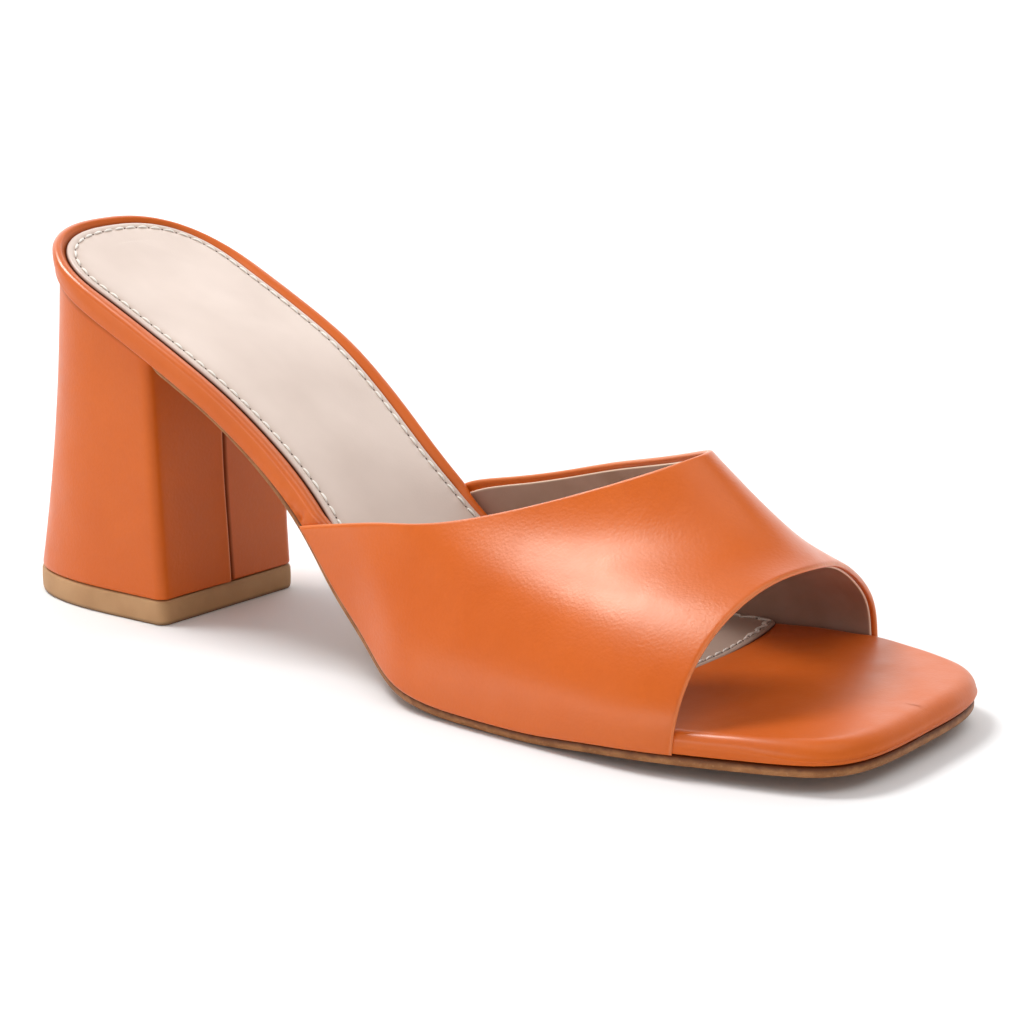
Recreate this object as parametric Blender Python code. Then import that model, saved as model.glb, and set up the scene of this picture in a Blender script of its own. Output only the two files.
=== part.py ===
"""Block-heeled mule sandal: one wide band over the foot, a square open toe and a padded sock.

Left shoe, standing on its sole. +X points to the toe, +Y to the wearer's left, +Z up, metres.
The origin lies on the floor under the middle of the heel's top lift.
"""
import bpy
import bmesh
import numpy as np

# Driving dimensions of the sole
FOOTBED_LENGTH = 0.2205
HEEL_RISE = 0.0750
BALL_HALF_WIDTH = 0.0400
SEAT_ROUND = 0.0236
SEAT_START = 0.0028
TOE_ROUND = 0.0136
TOE_SLANT = 0.0015
FOOTBED_HEEL_THICKNESS = 0.0052
FOOTBED_TOE_THICKNESS = 0.0046
FOOTBED_ROUNDING = 0.0024
FOOTBED_UNDERCUT = 0.0032
FOOTBED_FOLD = 0.0017
OUTSOLE_WAIST_THICKNESS = 0.0015
OUTSOLE_BALL_THICKNESS = 0.0021
OUTSOLE_SETBACK = 0.0004
OUTSOLE_BEVEL = 0.0006
SEAM_GAP = 0.0003

# Driving dimensions of the heel and its top lift
HEEL_BACK = -0.0075
HEEL_BREAST = 0.0425
HEEL_BREAST_TOP = 0.0408
HEEL_HALF_WIDTH = 0.0215
HEEL_BACK_ROUND = 0.0360
HEEL_TUCK = 0.0037
HEEL_EDGE_RADIUS = 0.0014
HEEL_WRAP_STEP = 0.0006
HEEL_WRAP_EDGE = 0.0002
HEEL_HOLLOW = 0.0280
TOP_LIFT_THICKNESS = 0.0055
TOP_LIFT_CHAMFER = 0.0004

# Driving dimensions of the sock
SOCK_MARGIN = 0.0042
SOCK_BALL_MARGIN = 0.0012
SOCK_BACK_REACH = 0.0008
SOCK_THICKNESS = 0.0014
SOCK_ROLL = 0.0010
SOCK_FRONT = 0.1665
SOCK_FRONT_BOW = 0.0025
SOCK_CORNER_RADIUS = 0.0065

# Driving dimensions of the band
BAND_WALL = 0.0018
BAND_PROUD = 0.0009
BAND_RISE = 0.0500
BAND_REAR = 0.0840
BAND_FRONT = 0.1880
FOOTBED_RECESS = 0.0018
RECESS_RAMP = 0.0050
RECESS_LEAD = 0.0060

# Underside of the footbed: station as share of FOOTBED_LENGTH, height as share of HEEL_RISE
# above the flat tread
UNDERSIDE = (
    (-0.020, 1.093),
    (0.080, 0.924),
    (0.165, 0.803),
    (0.250, 0.672),
    (0.320, 0.522),
    (0.385, 0.348),
    (0.435, 0.191),
    (0.480, 0.076),
    (0.540, 0.000),
    (0.690, 0.000),
    (0.780, 0.018),
    (0.870, 0.030),
    (1.000, 0.042),
)
# Edge of the sole: station as share of FOOTBED_LENGTH, half widths as shares of BALL_HALF_WIDTH
SOLE_EDGE = (
    (0.000, 0.655, 0.657),
    (0.127, 0.645, 0.685),
    (0.227, 0.635, 0.675),
    (0.300, 0.590, 0.636),
    (0.360, 0.566, 0.606),
    (0.450, 0.632, 0.728),
    (0.560, 0.866, 0.886),
    (0.680, 0.989, 1.021),
    (0.790, 0.999, 1.050),
    (0.930, 0.858, 0.864),
    (1.000, 0.694, 0.698),
)
# Edges of the band from the right foot over the instep to the left foot. The turn is the share
# of the way over, the station a share from BAND_REAR to BAND_FRONT, the lean a share of the
# sole's half width there and the rise a share of BAND_RISE over the footbed's underside.
COLLAR_EDGE = (
    (0.00, 0.000, -1.000, 0.000),
    (0.10, 0.095, -0.930, 0.250),
    (0.25, 0.285, -0.730, 0.617),
    (0.38, 0.560, -0.430, 0.782),
    (0.50, 0.785, 0.030, 0.972),
    (0.62, 0.590, 0.470, 0.848),
    (0.75, 0.310, 0.800, 0.672),
    (0.90, 0.090, 0.975, 0.225),
    (1.00, 0.015, 1.000, 0.000),
)
TOE_EDGE = (
    (0.00, 1.000, -1.000, 0.000),
    (0.10, 1.008, -0.985, 0.166),
    (0.25, 1.020, -0.730, 0.432),
    (0.38, 1.050, -0.340, 0.574),
    (0.50, 1.060, 0.020, 0.568),
    (0.62, 1.030, 0.360, 0.522),
    (0.75, 0.985, 0.745, 0.380),
    (0.90, 0.960, 1.000, 0.175),
    (1.00, 0.965, 1.000, 0.000),
)
BAND_SIDE_FADE = 2.2
BAND_SADDLE = 0.0005
BAND_STAND = 0.45
BAND_UPRIGHT = 0.06

# Stations, as shares of FOOTBED_LENGTH, where the sole's sections change
WAIST_END = 0.36
BALL_END = 0.56
TOE_SWING = 0.80
BOARD_THINS = (0.30, 0.66)
OUTSOLE_THICKENS = (0.25, 0.50)
SOCK_WIDENS = (0.33, 0.58)

# Colours as base colour, roughness
ORANGE = ((0.68, 0.17, 0.055, 1.0), 0.38)
TAUPE = ((0.73, 0.61, 0.53, 1.0), 0.42)
RUBBER = ((0.46, 0.27, 0.14, 1.0), 0.60)
SOLE_TAN = ((0.34, 0.22, 0.14, 1.0), 0.55)


def smooth(rows, column, where):
    """Value of a table's column by cubic pieces whose slopes never overshoot the rows."""
    table = np.array(rows)
    x, y = table[:, 0], table[:, column]
    step = np.diff(x)
    rise = np.diff(y) / step
    slope = np.zeros(len(x))
    same_way = rise[:-1] * rise[1:] > 0
    before, after = step[1:] + 2 * step[:-1], step[1:] * 2 + step[:-1]
    with np.errstate(divide="ignore", invalid="ignore"):
        mean = (before + after) / (after / rise[:-1] + before / rise[1:])
    slope[1:-1][same_way] = mean[same_way]
    slope[0], slope[-1] = rise[0], rise[-1]
    where = np.asarray(where, float)
    cell = np.clip(np.searchsorted(x, where) - 1, 0, len(step) - 1)
    t = (where - x[cell]) / step[cell]
    h = step[cell]
    inside = ((2 * t**3 - 3 * t**2 + 1) * y[cell] + (t**3 - 2 * t**2 + t) * h * slope[cell]
              + (3 * t**2 - 2 * t**3) * y[cell + 1] + (t**3 - t**2) * h * slope[cell + 1])
    past = np.where(t < 0, y[cell] + t * h * slope[cell], y[cell + 1] + (t - 1) * h * slope[cell + 1])
    return np.where((t >= 0) & (t <= 1), inside, past)


def ease(value):
    """Soft step from 0 to 1."""
    t = np.clip(value, 0.0, 1.0)
    return t * t * (3 - 2 * t)


def between(x, stations):
    """Soft step from 0 at the first station to 1 at the second; stations are shares of the length."""
    start, stop = stations
    return ease((np.asarray(x) / FOOTBED_LENGTH - start) / (stop - start))


def underside(x):
    """Height of the footbed's underside over the floor."""
    tread = OUTSOLE_BALL_THICKNESS + SEAM_GAP
    return tread + HEEL_RISE * smooth(UNDERSIDE, 1, np.asarray(x) / FOOTBED_LENGTH)


def on_sole(x, y, height):
    """Point that stands square on the footbed's underside by the given height."""
    x, y, height = np.broadcast_arrays(np.asarray(x, float), y, height)
    step = 0.0005
    slope = (underside(x + step) - underside(x - step)) / (2 * step)
    size = np.sqrt(1 + slope**2)
    return np.stack([x - height * slope / size, y, underside(x) + height / size], axis=-1)


def footbed_thickness(x):
    share = between(x, BOARD_THINS)
    return FOOTBED_HEEL_THICKNESS + (FOOTBED_TOE_THICKNESS - FOOTBED_HEEL_THICKNESS) * share


def outsole_thickness(x):
    share = between(x, OUTSOLE_THICKENS)
    return OUTSOLE_WAIST_THICKNESS + (OUTSOLE_BALL_THICKNESS - OUTSOLE_WAIST_THICKNESS) * share


def half_width(x, side):
    """Half width of the sole at a station, side -1 for the right edge and +1 for the left."""
    column = 1 if side < 0 else 2
    return BALL_HALF_WIDTH * smooth(SOLE_EDGE, column, np.asarray(x) / FOOTBED_LENGTH)


def oval(count, power):
    """Quarter of a squarish oval: shares along and across, from the tip to the full width."""
    angle = np.linspace(0.0, np.pi / 2, count)
    return 1 - np.cos(angle) ** (2 / power), np.sin(angle) ** (2 / power)


def sole_side(side, inset=0.0):
    """One side of the sole's outline in plan, from the middle of the seat to the middle of the toe."""
    along, across = oval(11, 2.5)
    seat_x = SEAT_START + SEAT_ROUND * along
    seat_y = half_width(seat_x, side) * across
    waist = np.linspace(seat_x[-1], WAIST_END * FOOTBED_LENGTH, 9)
    ball = np.linspace(WAIST_END * FOOTBED_LENGTH, BALL_END * FOOTBED_LENGTH, 14)
    forefoot = np.linspace(BALL_END * FOOTBED_LENGTH, FOOTBED_LENGTH - TOE_ROUND, 9)
    straight_x = np.concatenate([waist[1:], ball[1:], forefoot[1:-1]])
    straight_y = half_width(straight_x, side)
    along, across = oval(9, 3.2)
    toe_x = FOOTBED_LENGTH - TOE_ROUND * along[::-1]
    toe_y = half_width(toe_x, side) * across[::-1]
    x = np.concatenate([seat_x, straight_x, toe_x])
    y = np.concatenate([seat_y, straight_y, toe_y])
    swing = between(x, (TOE_SWING, 1.0))
    x = x - TOE_SLANT * swing * side * y / BALL_HALF_WIDTH
    line = np.stack([x, side * y], axis=-1)
    return inset_side(line, inset, side) if inset else line


def inset_side(line, inset, side):
    """Side of an outline moved inwards; its first and last points stay on the middle line."""
    way = np.gradient(line, axis=0)
    way[0] = (0.0, side)
    way[-1] = (0.0, -side)
    way /= np.linalg.norm(way, axis=1)[:, None]
    inward = np.stack([side * way[:, 1], -side * way[:, 0]], axis=-1)
    return line + np.reshape(inset, (-1, 1)) * inward


def loop_of(right, left):
    """Closed outline from its right and left sides, which share their first and last points."""
    return np.vstack([right[::-1], left[1:-1]])


def band_stations(side):
    """Stations where the band's collar edge and toe edge meet the sole on one side."""
    row = 0 if side < 0 else -1
    span = BAND_FRONT - BAND_REAR
    return BAND_REAR + span * COLLAR_EDGE[row][1], BAND_REAR + span * TOE_EDGE[row][1]


def band_recess(x, side):
    """How far the footbed's edge is set in where the band is lasted over it."""
    rear, front = band_stations(side)
    rear_ramp = ease((x - rear + RECESS_LEAD) / RECESS_RAMP)
    front_ramp = ease((front + RECESS_LEAD - x) / RECESS_RAMP)
    return FOOTBED_RECESS * rear_ramp * front_ramp


def collection_for(name):
    group = bpy.data.collections.new(name)
    bpy.context.scene.collection.children.link(group)
    return group


def material_for(name, finish):
    colour, roughness = finish
    material = bpy.data.materials.new(name)
    material.use_nodes = True
    shader = material.node_tree.nodes["Principled BSDF"]
    shader.inputs["Base Color"].default_value = colour
    shader.inputs["Roughness"].default_value = roughness
    material.diffuse_color = colour
    return material


def add_mesh(name, points, faces, finish, group):
    """Object from points and faces: doubles merged, faces turned outwards, shaded smooth."""
    mesh = bpy.data.meshes.new(name)
    shape = bmesh.new()
    corners = [shape.verts.new(point) for point in points.reshape(-1, 3) - [origin_shift(), 0, 0]]
    for face in faces:
        kept = list(dict.fromkeys(face))
        shape.faces.new([corners[index] for index in kept])
    bmesh.ops.remove_doubles(shape, verts=shape.verts, dist=1e-6)
    bmesh.ops.recalc_face_normals(shape, faces=shape.faces)
    bmesh.ops.triangulate(shape, faces=shape.faces)
    shape.to_mesh(mesh)
    shape.free()
    mesh.materials.append(material_for(name, finish))
    mesh.shade_smooth()
    mesh.set_sharp_from_angle(angle=0.7)
    item = bpy.data.objects.new(name, mesh)
    group.objects.link(item)
    return item


def origin_shift():
    """Station of the top lift's middle, where the model's origin lies."""
    return (HEEL_BACK + HEEL_BREAST) / 2


def stack_of_rings(name, rings, finish, group):
    """Solid from outlines laid over each other, closed at both ends by rungs from side to side."""
    size = len(rings[0])
    half = size // 2 + 1
    faces = []
    for level in range(len(rings) - 1):
        base = level * size
        for index in range(size):
            after = (index + 1) % size
            faces.append((base + index, base + after, base + size + after, base + size + index))
    for base in (0, (len(rings) - 1) * size):
        for rung in range(half - 1):
            right, right_next = half - 1 - rung, half - 2 - rung
            left, left_next = (half - 1 + rung) % size, (half + rung) % size
            faces.append((base + right, base + right_next, base + left_next, base + left))
    return add_mesh(name, np.array(rings), faces, finish, group)


def plate(name, right, left, profile, finish, group):
    """Board on the sole: its edge profile is rows of inset and height function."""
    rings = []
    for inset, height in profile:
        outline = loop_of(inset_side(right, inset, -1), inset_side(left, inset, 1))
        rings.append(on_sole(outline[:, 0], outline[:, 1], height(outline[:, 0])))
    return stack_of_rings(name, rings, finish, group)


def make_footbed(group):
    """Insole board with a rounded, wrapped edge; set in where the band passes down its sides."""
    sides = []
    for side in (-1, 1):
        line = sole_side(side)
        recess = band_recess(line[:, 0], side)
        line[:, 1] -= side * recess
        sides.append(line)
    round_up = FOOTBED_ROUNDING
    profile = [
        (FOOTBED_UNDERCUT, lambda x: 0 * x),
        (0.35 * FOOTBED_UNDERCUT, lambda x: 0 * x + 0.18 * FOOTBED_FOLD),
        (0.0000, lambda x: 0 * x + FOOTBED_FOLD),
        (0.0000, lambda x: footbed_thickness(x) - 0.72 * round_up),
        (0.12 * round_up, lambda x: footbed_thickness(x) - 0.42 * round_up),
        (0.38 * round_up, lambda x: footbed_thickness(x) - 0.16 * round_up),
        (1.00 * round_up, lambda x: footbed_thickness(x)),
    ]
    return plate("footbed", sides[0], sides[1], profile, ORANGE, group)


def make_outsole(group):
    """Thin sole from the heel's breast to the toe, flat on the floor under the ball."""
    sides = []
    breast = HEEL_BREAST_TOP + HEEL_WRAP_STEP + SEAM_GAP
    lower = on_sole(breast, 0.0, -SEAM_GAP - OUTSOLE_WAIST_THICKNESS)
    rear = 2 * breast - lower[0]
    first = np.argmax(sole_side(1)[:, 0] > rear + 0.002)
    for side in (-1, 1):
        edge = sole_side(side, OUTSOLE_SETBACK)[first:]
        corner = half_width(rear, side) - HEEL_TUCK
        start = [(rear, 0.0), (rear, side * 0.5 * corner), (rear, side * corner)]
        sides.append(np.vstack([start, edge]))
    right, left = sides
    profile = [
        (OUTSOLE_BEVEL, lambda x: -SEAM_GAP - outsole_thickness(x)),
        (0.0000, lambda x: -SEAM_GAP - outsole_thickness(x) + OUTSOLE_BEVEL),
        (0.0000, lambda x: 0 * x - SEAM_GAP),
    ]
    return plate("outsole", right, left, profile, SOLE_TAN, group)


def resample(line, count):
    """Line with evenly spaced points."""
    length = np.concatenate([[0], np.cumsum(np.linalg.norm(np.diff(line, axis=0), axis=1))])
    where = np.linspace(0, length[-1], count)
    return np.stack([np.interp(where, length, line[:, k]) for k in (0, 1)], axis=-1)


def heel_side(wall, breast, side, step):
    """Side of the heel in plan: breast from its middle, rounded edge, then the wall to the back."""
    corner = wall[0]
    reach = abs(corner[1])
    proud = step if side < 0 else 0.0
    breast_line = [
        (breast, 0.0),
        (breast + proud, side * HEEL_WRAP_EDGE),
        (breast + 0.5 * proud, side * 0.5 * reach),
        (breast, side * (reach - HEEL_EDGE_RADIUS)),
        (breast - 0.3 * HEEL_EDGE_RADIUS, side * (reach - 0.3 * HEEL_EDGE_RADIUS)),
    ]
    body = wall[wall[:, 0] < breast - HEEL_EDGE_RADIUS]
    body = np.vstack([[(breast - HEEL_EDGE_RADIUS, corner[1])], body])
    return np.vstack([breast_line, resample(body, 16)])


def heel_plans():
    """Right and left sides of the heel's foot and of its top, point for point."""
    plans = {"foot": [], "top": []}
    for side in (-1, 1):
        along, across = oval(24, 2.6)
        x = HEEL_BACK + HEEL_BACK_ROUND * along[::-1]
        y = HEEL_HALF_WIDTH * across[::-1]
        wall = np.stack([x, side * y], axis=-1)
        wall = np.vstack([[(HEEL_BREAST, side * HEEL_HALF_WIDTH)], wall])
        plans["foot"].append(heel_side(wall, HEEL_BREAST, side, HEEL_WRAP_STEP))
        edge = sole_side(side, HEEL_TUCK)[::-1]
        edge = edge[edge[:, 0] < HEEL_BREAST_TOP]
        corner = (HEEL_BREAST_TOP, side * (half_width(HEEL_BREAST_TOP, side) - HEEL_TUCK))
        plans["top"].append(heel_side(np.vstack([[corner], edge]), HEEL_BREAST_TOP, side, HEEL_WRAP_STEP))
    return loop_of(*plans["foot"]), loop_of(*plans["top"])


def make_heel(group):
    """Covered block, flared to its foot, its top shaped to the footbed's underside."""
    foot, top = heel_plans()
    floor = TOP_LIFT_THICKNESS + SEAM_GAP
    low = np.column_stack([foot, np.full(len(foot), floor)])
    high = on_sole(top[:, 0], top[:, 1], np.full(len(top), -SEAM_GAP))
    middle = np.array([origin_shift(), 0.0])
    rings = []
    for share in (0.0, 0.25, 0.5, 0.75, 1.0):
        ring = low + (high - low) * share
        pinch = HEEL_HOLLOW * 4 * share * (1 - share)
        ring[:, :2] += (middle - ring[:, :2]) * pinch
        rings.append(ring)
    return stack_of_rings("heel", rings, ORANGE, group)


def make_top_lift(group):
    """Rubber lift under the heel, its foot on the floor."""
    foot, _ = heel_plans()
    foot = foot.copy()
    middle = np.array([origin_shift(), 0.0])
    reach = np.linalg.norm(foot - middle, axis=1)[:, None]
    chamfered = foot + (middle - foot) * TOP_LIFT_CHAMFER / reach
    rings = [
        np.column_stack([chamfered, np.zeros(len(foot))]),
        np.column_stack([foot, np.full(len(foot), TOP_LIFT_CHAMFER)]),
        np.column_stack([foot, np.full(len(foot), TOP_LIFT_THICKNESS)]),
    ]
    return stack_of_rings("top_lift", rings, RUBBER, group)


def make_sock(group):
    """Padded sock on the footbed, from the seat to a rounded front edge inside the toe opening."""
    sides = []
    for side in (-1, 1):
        line = sole_side(side)
        recess = band_recess(line[:, 0], side)
        line[:, 1] -= side * recess
        to_ball = between(line[:, 0], SOCK_WIDENS)
        margin = SOCK_MARGIN + (SOCK_BALL_MARGIN - SOCK_MARGIN) * to_ball
        line = inset_side(line, margin, side)
        line[:, 0] -= SOCK_BACK_REACH * (1 - ease(line[:, 0] / SEAT_ROUND))
        corner_start = SOCK_FRONT - SOCK_FRONT_BOW - SOCK_CORNER_RADIUS
        body = line[:np.argmax(sole_side(1)[:, 0] > corner_start - 0.5 * SOCK_CORNER_RADIUS)]
        forward = np.argmax(line[:, 0])
        reach = np.interp(corner_start, line[:forward, 0], side * line[:forward, 1])
        along, across = oval(7, 2.0)
        corner_x = SOCK_FRONT - SOCK_FRONT_BOW - SOCK_CORNER_RADIUS * along[::-1]
        corner_y = reach - SOCK_CORNER_RADIUS * (1 - across[::-1])
        front_y = np.array([0.6, 0.3, 0.0]) * (reach - SOCK_CORNER_RADIUS)
        front_x = SOCK_FRONT - SOCK_FRONT_BOW * np.array([0.36, 0.09, 0.0])
        x = np.concatenate([corner_x, front_x])
        y = np.concatenate([corner_y, front_y])
        sides.append(np.vstack([body, np.stack([x, side * y], axis=-1)]))
    base = lambda x: footbed_thickness(x) + SEAM_GAP
    profile = [
        (0.0000, base),
        (0.0000, lambda x: base(x) + 0.6 * SOCK_THICKNESS),
        (SOCK_ROLL, lambda x: base(x) + SOCK_THICKNESS),
    ]
    return plate("sock", sides[0], sides[1], profile, TAUPE, group)


def band_foot(share, side):
    """Foot line of the band along the sole's edge; share runs from the collar to the toe edge."""
    rear, front = band_stations(side)
    x = rear + (front - rear) * share
    return on_sole(x, side * (half_width(x, side) + BAND_PROUD), 0 * x)


def band_edge(rows, turn):
    """Free edge of the band from foot to foot."""
    x = BAND_REAR + (BAND_FRONT - BAND_REAR) * spline(rows, 1, turn)
    lean = spline(rows, 2, turn)
    reach = np.where(lean < 0, half_width(x, -1), half_width(x, 1)) + BAND_PROUD
    z = underside(x) + BAND_RISE * spline(rows, 3, turn)
    return np.stack([x, lean * reach, z], axis=-1)


def spline(rows, column, where):
    """Value of a table's column by a natural cubic spline."""
    table = np.array(rows)
    x, y = table[:, 0], table[:, column]
    step = np.diff(x)
    count = len(x)
    system = np.eye(count)
    target = np.zeros(count)
    for k in range(1, count - 1):
        system[k, k - 1:k + 2] = (step[k - 1], 2 * (step[k - 1] + step[k]), step[k])
        target[k] = 6 * ((y[k + 1] - y[k]) / step[k] - (y[k] - y[k - 1]) / step[k - 1])
    bend = np.linalg.solve(system, target)
    cell = np.clip(np.searchsorted(x, where) - 1, 0, count - 2)
    a = (x[cell + 1] - where) / step[cell]
    b = 1 - a
    return (a * y[cell] + b * y[cell + 1]
            + ((a**3 - a) * bend[cell] + (b**3 - b) * bend[cell + 1]) * step[cell]**2 / 6)


def band_surface(across, along):
    """Outer face of the band on a grid of turns and shares from the collar to the toe edge.

    A ruled surface runs from the collar edge to the toe edge. The difference between it and the
    line where the band meets the sole is added at both feet and fades out up the sides.
    """
    turn, share = np.meshgrid(across, along, indexing="ij")
    collar, toe = band_edge(COLLAR_EDGE, turn), band_edge(TOE_EDGE, turn)
    surface = collar + (toe - collar) * share[..., None]
    for side, end in ((-1, 0), (1, -1)):
        way = turn if side < 0 else 1 - turn
        foot = band_foot(share, side)
        start, stop = band_edge(COLLAR_EDGE, across[[end]]), band_edge(TOE_EDGE, across[[end]])
        ruled = start + (stop - start) * share[..., None]
        fade = np.clip(1 - 2 * way, 0, 1) ** BAND_SIDE_FADE
        stand = 1 - ease(way / BAND_STAND)
        weight = np.stack([fade, stand, fade], axis=-1)
        surface = surface + weight * (foot - ruled)
    saddle = BAND_SADDLE * 4 * share * (1 - share) * np.sin(np.pi * turn) ** 2
    surface[..., 2] -= saddle
    return surface


def make_upper(group):
    """Lasted band: one wall, open at the collar, at the toe and underneath."""
    across = np.linspace(0, 1, 41)
    along = np.linspace(0, 1, 23)
    outer = band_surface(across, along)
    normal = np.cross(np.gradient(outer, axis=1), np.gradient(outer, axis=0))
    low = np.minimum(across, 1 - across)
    upright = 1 - ease(low / BAND_UPRIGHT)
    normal /= np.linalg.norm(normal, axis=-1)[..., None]
    middle = 0 * normal
    middle[..., 1] = np.sign(outer[..., 1])
    if (normal * middle)[0].sum() < 0:
        normal = -normal
    normal = normal * (1 - upright)[:, None, None] + middle * upright[:, None, None]
    normal /= np.linalg.norm(normal, axis=-1)[..., None]
    inner = outer - BAND_WALL * normal
    rows, columns = outer.shape[:2]
    count = rows * columns
    grid = np.arange(count).reshape(rows, columns)
    faces = []
    for sheet in (grid, grid + count):
        quads = np.stack([sheet[:-1, :-1], sheet[1:, :-1], sheet[1:, 1:], sheet[:-1, 1:]], axis=-1)
        faces += [tuple(quad) for quad in quads.reshape(-1, 4)]
    border = np.concatenate([grid[:, 0], grid[-1, 1:], grid[-2::-1, -1], grid[0, -2:0:-1]])
    after = np.roll(border, -1)
    faces += [(a, b, b + count, a + count) for a, b in zip(border, after)]
    return add_mesh("upper", np.stack([outer, inner]), faces, ORANGE, group)


for leftover in list(bpy.data.objects):
    bpy.data.objects.remove(leftover, do_unlink=True)
shoe = collection_for("block_heel_mule")
make_top_lift(shoe)
make_heel(shoe)
make_outsole(shoe)
make_footbed(shoe)
make_sock(shoe)
make_upper(shoe)
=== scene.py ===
"""A left block-heel mule sandal in orange leather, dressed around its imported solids.

Lengths are metres in the frame's own axes: +X to the toe, +Y to the wearer's left, +Z up.
The sections follow the shoe as it is made: footbed, band, lining, outsole, heel, lift and sock.
"""

import bmesh
import bpy
import numpy as np
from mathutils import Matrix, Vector


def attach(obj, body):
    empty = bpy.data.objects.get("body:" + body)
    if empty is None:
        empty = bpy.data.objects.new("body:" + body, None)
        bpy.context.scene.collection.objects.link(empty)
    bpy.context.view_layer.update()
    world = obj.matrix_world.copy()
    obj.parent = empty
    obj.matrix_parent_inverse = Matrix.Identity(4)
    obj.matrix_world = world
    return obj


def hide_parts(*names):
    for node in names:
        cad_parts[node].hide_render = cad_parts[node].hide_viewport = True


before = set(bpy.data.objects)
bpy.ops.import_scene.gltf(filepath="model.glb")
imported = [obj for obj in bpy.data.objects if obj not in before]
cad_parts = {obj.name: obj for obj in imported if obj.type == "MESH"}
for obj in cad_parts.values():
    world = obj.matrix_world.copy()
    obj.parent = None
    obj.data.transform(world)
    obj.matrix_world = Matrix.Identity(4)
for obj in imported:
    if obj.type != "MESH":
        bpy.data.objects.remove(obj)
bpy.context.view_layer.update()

# The footbed: an insole board with a thin foam, wrapped in orange leather. The wrap is pulled
# over the upper edge into a firm ridge and turned under the board, where it meets heel and sole.

SOLE_BACK = -0.0175
SOLE_LENGTH = 0.2205
HEEL_RISE = 0.0750
BALL_HALF_WIDTH = 0.0400
TREAD = 0.0024
SEAT_START = 0.0028
SEAT_ROUND = 0.0236
TOE_ROUND = 0.0136
TOE_SQUARE = {-1: 4.0, 1: 3.2}
TOE_SLANT = 0.0015
BOARD_AT_HEEL = 0.0052
BOARD_AT_TOE = 0.0046
RIDGE_AT_SEAT = 0.0012
RIDGE_AT_BALL = 0.0021
RIDGE_AT_TOE = 0.0036
SEAT_LEAN = 0.0020
SOCK_RECESS = 0.0009
RIDGE_FALL = 0.0006
TOE_CROWN = 0.0003
CROWN = 0.0003
CROWN_END = 0.006
WALL_FOOT = 0.0009
ROLL_STEPS = 8
GROOVE_LIP = 0.0009
BAND_SEAT_DEPTH = 0.0011
BAND_SEAT_RAMP = 0.0040

# Station as share of the sole's length, height of the board's underside as share of the rise
UNDERSIDE = (
    (-0.020, 1.093), (0.080, 0.924), (0.165, 0.803), (0.250, 0.672), (0.320, 0.522),
    (0.385, 0.348), (0.435, 0.191), (0.480, 0.102), (0.540, 0.024), (0.600, 0.002),
    (0.690, 0.000), (0.780, 0.018), (0.870, 0.030), (1.000, 0.042),
)
# Station, then the half widths to the right and left as shares of the ball's
SOLE_EDGE = (
    (0.000, 0.655, 0.657), (0.127, 0.645, 0.685), (0.227, 0.635, 0.675), (0.300, 0.590, 0.636),
    (0.360, 0.566, 0.606), (0.450, 0.640, 0.728), (0.560, 0.905, 0.890), (0.680, 0.975, 1.045),
    (0.790, 0.999, 1.066), (0.930, 0.858, 0.864), (1.000, 0.694, 0.698),
)


def ease(value):
    """Soft step: 0 below 0, 1 above 1, with level ends."""
    t = np.clip(value, 0.0, 1.0)
    return t * t * (3 - 2 * t)


def averaged(values, reach):
    """Bell average over a reach of points to both sides, the ends carried on straight."""
    bell = np.hanning(2 * reach + 1)
    spread = np.pad(values, reach, mode="reflect", reflect_type="odd")
    return np.convolve(spread, bell / bell.sum(), mode="valid")


def faired(rows, column):
    """Fine table of one column: cubic pieces that never overshoot their rows, then averaged.

    The slope at a row is the weighted harmonic mean of its neighbours' rises, or 0 at a turn.
    A short bell average then takes the jumps out of the curvature.
    """
    table = np.array(rows)
    x, y = table[:, 0], table[:, column]
    step = np.diff(x)
    rise = np.diff(y) / step
    slope = np.zeros(len(x))
    same_way = rise[:-1] * rise[1:] > 0
    before, after = step[1:] + 2 * step[:-1], 2 * step[1:] + step[:-1]
    with np.errstate(divide="ignore", invalid="ignore"):
        mean = (before + after) / (after / rise[:-1] + before / rise[1:])
    slope[1:-1][same_way] = mean[same_way]
    slope[0], slope[-1] = rise[0], rise[-1]
    fine = np.linspace(x[0], x[-1], 1601)
    cell = np.clip(np.searchsorted(x, fine) - 1, 0, len(step) - 1)
    t, h = (fine - x[cell]) / step[cell], step[cell]
    value = ((2 * t**3 - 3 * t**2 + 1) * y[cell] + (t**3 - 2 * t**2 + t) * h * slope[cell]
             + (3 * t**2 - 2 * t**3) * y[cell + 1] + (t**3 - t**2) * h * slope[cell + 1])
    return fine, averaged(value, 60)


UNDERSIDE_LINE = faired(UNDERSIDE, 1)
EDGE_LINES = {-1: faired(SOLE_EDGE, 1), 1: faired(SOLE_EDGE, 2)}


def share(x):
    """Station as share of the sole's length."""
    return (np.asarray(x, float) - SOLE_BACK) / SOLE_LENGTH


def between(x, start, stop):
    """Soft step from the first to the second station share."""
    return ease((share(x) - start) / (stop - start))


def underside(x):
    """Height of the board's underside over the floor."""
    return TREAD + HEEL_RISE * np.interp(share(x), *UNDERSIDE_LINE)


def stand(x, y, height):
    """Point square on the sole: the underside moved along its own normal by the height."""
    reach = 0.0006
    slope = (underside(x + reach) - underside(x - reach)) / (2 * reach)
    size = np.sqrt(1 + slope**2)
    return np.stack([x - height * slope / size, y + 0 * x, underside(x) + height / size], axis=-1)


def half_width(x, side):
    """Half width of the sole towards one side."""
    return BALL_HALF_WIDTH * np.interp(share(x), *EDGE_LINES[side])


def board(x):
    """Thickness of the wrapped board."""
    return BOARD_AT_HEEL + (BOARD_AT_TOE - BOARD_AT_HEEL) * between(x, 0.30, 0.66)


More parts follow.
